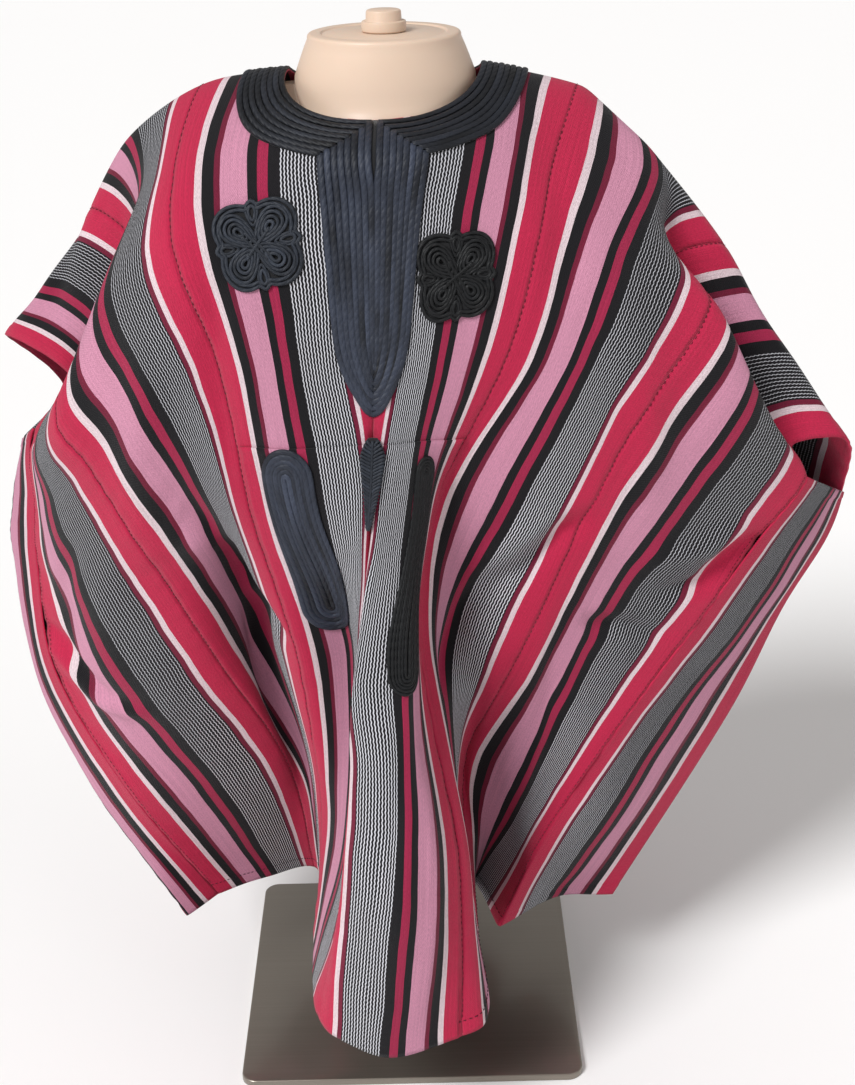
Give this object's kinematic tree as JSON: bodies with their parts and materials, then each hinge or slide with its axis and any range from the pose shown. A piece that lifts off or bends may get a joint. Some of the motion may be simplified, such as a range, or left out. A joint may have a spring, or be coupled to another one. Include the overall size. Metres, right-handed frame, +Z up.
{
  "type": "striped dashiki on dress form stand",
  "caption": "Wide hand-woven striped dashiki with corded collar, bib and badges, draped open on a limbless dress form with a pole and square plate.",
  "frame": {"origin": "middle of the base plate's underside", "axes": "+Z up along the pole, -Y out of the garment's front, +X towards the wearer's left"},
  "size_m": [0.7261, 0.4722, 0.8899],
  "materials": {
    "woven_cloth": "matte",
    "embroidery_cord": "satin",
    "form_shell": "satin",
    "stand_metal": "satin"
  },
  "bodies": {
    "root": {"strip_right_outer": "woven_cloth", "strip_right_middle": "woven_cloth", "strip_right_centre": "woven_cloth", "strip_left_centre": "woven_cloth", "strip_left_middle": "woven_cloth", "strip_left_outer": "woven_cloth", "gore_right": "woven_cloth", "gore_left": "woven_cloth", "front_pocket": "woven_cloth", "bib": "embroidery_cord", "collar": "embroidery_cord", "rosette_right": "embroidery_cord", "rosette_left": "embroidery_cord", "pocket_trim_right": "embroidery_cord", "pocket_trim_left": "embroidery_cord", "teardrop_badge": "embroidery_cord", "form_torso": "form_shell", "form_knob": "form_shell", "pole": "stand_metal", "base_plate": "stand_metal"}
  },
  "joints": []
}
